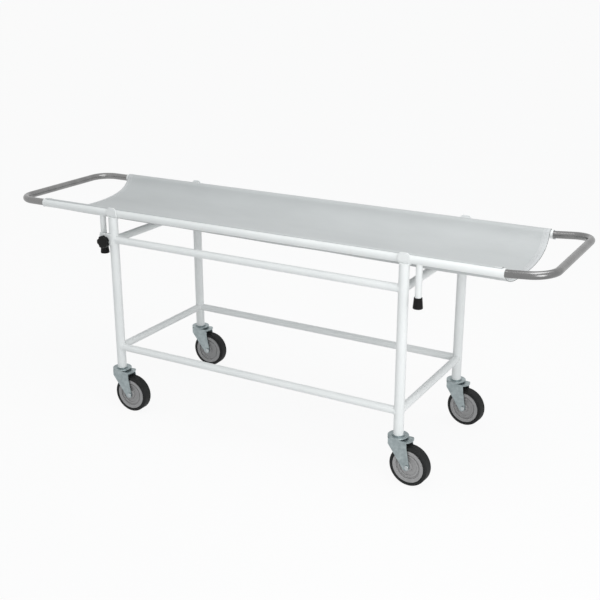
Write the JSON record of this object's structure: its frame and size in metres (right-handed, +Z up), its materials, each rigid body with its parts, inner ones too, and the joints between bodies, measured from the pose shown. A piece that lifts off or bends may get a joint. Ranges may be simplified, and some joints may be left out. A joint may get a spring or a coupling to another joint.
{
  "type": "stretcher trolley",
  "caption": "Wheeled patient stretcher: white tube trolley on swivel casters with a lift-off stretcher of grey vinyl between poles, pull-out handles and a clamp knob.",
  "frame": {"origin": "on the floor, midway between the four legs of the trolley", "axes": "+X runs along the length, +Y across it with the clamp knob on the -Y side, +Z up; at rest the stretcher lies on its saddles, the handles are pushed in and the casters trail towards +X"},
  "size_m": [1.976, 0.5591, 0.742],
  "materials": {
    "white_paint": "white powder coat, satin gloss, on steel tube and plate",
    "handle_steel": "polished stainless tube",
    "zinc_plate": "bright zinc plate on pressed steel",
    "bright_steel": "zinc plated fasteners, smooth",
    "hub_grey": "grey moulded polypropylene, satin",
    "tyre_black": "black solid rubber, matt",
    "knob_black": "black moulded phenolic, semi gloss",
    "cap_rubber": "black rubber ferrule, matt",
    "plug_nylon": "black nylon plug, hidden in the leg",
    "sheet_grey": "light grey vinyl coated cloth with a fine leather grain"
  },
  "bodies": {
    "trolley": {"leg_front_left": "white_paint", "leg_front_right": "white_paint", "leg_rear_left": "white_paint", "leg_rear_right": "white_paint", "saddle_front_left": "white_paint", "saddle_front_right": "white_paint", "saddle_rear_left": "white_paint", "saddle_rear_right": "white_paint", "lower_rail_front": "white_paint", "lower_rail_rear": "white_paint", "lower_rail_left": "white_paint", "lower_rail_right": "white_paint", "upper_rail_front": "white_paint", "upper_rail_rear": "white_paint", "upper_rail_left": "white_paint", "upper_rail_right": "white_paint", "clamp_back_plate": "white_paint", "clamp_stud": "bright_steel", "stem_plugs": "plug_nylon", "king_pins": "bright_steel", "swivel_head_front_left": "zinc_plate", "swivel_head_front_right": "zinc_plate", "swivel_head_rear_left": "zinc_plate", "swivel_head_rear_right": "zinc_plate"},
    "swivel_front_left": {"fork_front_left": "zinc_plate", "ball_ring_front_left": "bright_steel", "axle_front_left": "bright_steel"},
    "wheel_front_left": {"hub_front_left": "hub_grey", "tyre_front_left": "tyre_black", "wheel_bush_front_left": "bright_steel"},
    "swivel_front_right": {"fork_front_right": "zinc_plate", "ball_ring_front_right": "bright_steel", "axle_front_right": "bright_steel"},
    "wheel_front_right": {"hub_front_right": "hub_grey", "tyre_front_right": "tyre_black", "wheel_bush_front_right": "bright_steel"},
    "swivel_rear_left": {"fork_rear_left": "zinc_plate", "ball_ring_rear_left": "bright_steel", "axle_rear_left": "bright_steel"},
    "wheel_rear_left": {"hub_rear_left": "hub_grey", "tyre_rear_left": "tyre_black", "wheel_bush_rear_left": "bright_steel"},
    "swivel_rear_right": {"fork_rear_right": "zinc_plate", "ball_ring_rear_right": "bright_steel", "axle_rear_right": "bright_steel"},
    "wheel_rear_right": {"hub_rear_right": "hub_grey", "tyre_rear_right": "tyre_black", "wheel_bush_rear_right": "bright_steel"},
    "clamp_jaw": {"clamp_jaw": "white_paint"},
    "clamp_knob": {"clamp_knob": "knob_black"},
    "stretcher": {"pole_front": "white_paint", "pole_rear": "white_paint", "foot_tubes": "white_paint", "foot_caps": "cap_rubber", "clamp_collar": "white_paint", "sheet": "sheet_grey"},
    "handle_left": {"handle_left": "handle_steel", "stop_screw_left": "bright_steel"},
    "handle_right": {"handle_right": "handle_steel", "stop_screw_right": "bright_steel"}
  },
  "joints": [
    {"name": "swivel_front_left", "type": "hinge", "parent": "trolley", "child": "swivel_front_left", "pos_m": [-0.54, -0.244, 0.145], "axis": [0, 0, 1], "continuous": true},
    {"name": "roll_front_left", "type": "hinge", "parent": "swivel_front_left", "child": "wheel_front_left", "pos_m": [-0.49601, -0.24323, 0.0645], "axis": [-0.0175, 0.9998, 0], "continuous": true},
    {"name": "swivel_front_right", "type": "hinge", "parent": "trolley", "child": "swivel_front_right", "pos_m": [0.54, -0.244, 0.145], "axis": [0, 0, 1], "continuous": true},
    {"name": "roll_front_right", "type": "hinge", "parent": "swivel_front_right", "child": "wheel_front_right", "pos_m": [0.58389, -0.24707, 0.0645], "axis": [0.0698, 0.9976, 0], "continuous": true},
    {"name": "swivel_rear_left", "type": "hinge", "parent": "trolley", "child": "swivel_rear_left", "pos_m": [-0.54, 0.244, 0.145], "axis": [0, 0, 1], "continuous": true},
    {"name": "roll_rear_left", "type": "hinge", "parent": "swivel_rear_left", "child": "wheel_rear_left", "pos_m": [-0.49603, 0.24554, 0.0645], "axis": [-0.0349, 0.9994, 0], "continuous": true},
    {"name": "swivel_rear_right", "type": "hinge", "parent": "trolley", "child": "swivel_rear_right", "pos_m": [0.54, 0.244, 0.145], "axis": [0, 0, 1], "continuous": true},
    {"name": "roll_rear_right", "type": "hinge", "parent": "swivel_rear_right", "child": "wheel_rear_right", "pos_m": [0.58357, 0.23788, 0.0645], "axis": [0.1392, 0.9903, 0], "continuous": true},
    {"name": "stretcher_lift", "type": "slide", "parent": "trolley", "child": "stretcher", "axis": [0, 0, 1], "range_m": [0, 0.35]},
    {"name": "handle_left_pull", "type": "slide", "parent": "stretcher", "child": "handle_left", "axis": [-1, 0, 0], "range_m": [0, 0.12]},
    {"name": "handle_right_pull", "type": "slide", "parent": "stretcher", "child": "handle_right", "axis": [1, 0, 0], "range_m": [0, 0.12]},
    {"name": "clamp_slide", "type": "slide", "parent": "trolley", "child": "clamp_jaw", "axis": [0, 1, 0], "range_m": [-0.003, 0.0012]},
    {"name": "clamp_knob_turn", "type": "hinge", "parent": "clamp_jaw", "child": "clamp_knob", "pos_m": [-0.5649, -0.267, 0.624], "axis": [0, 1, 0], "range_deg": [-865, 346]}
  ],
  "couplings": [
    {"joint": "clamp_knob_turn", "follows": "clamp_slide", "rad_per_m": 5026.5}
  ]
}
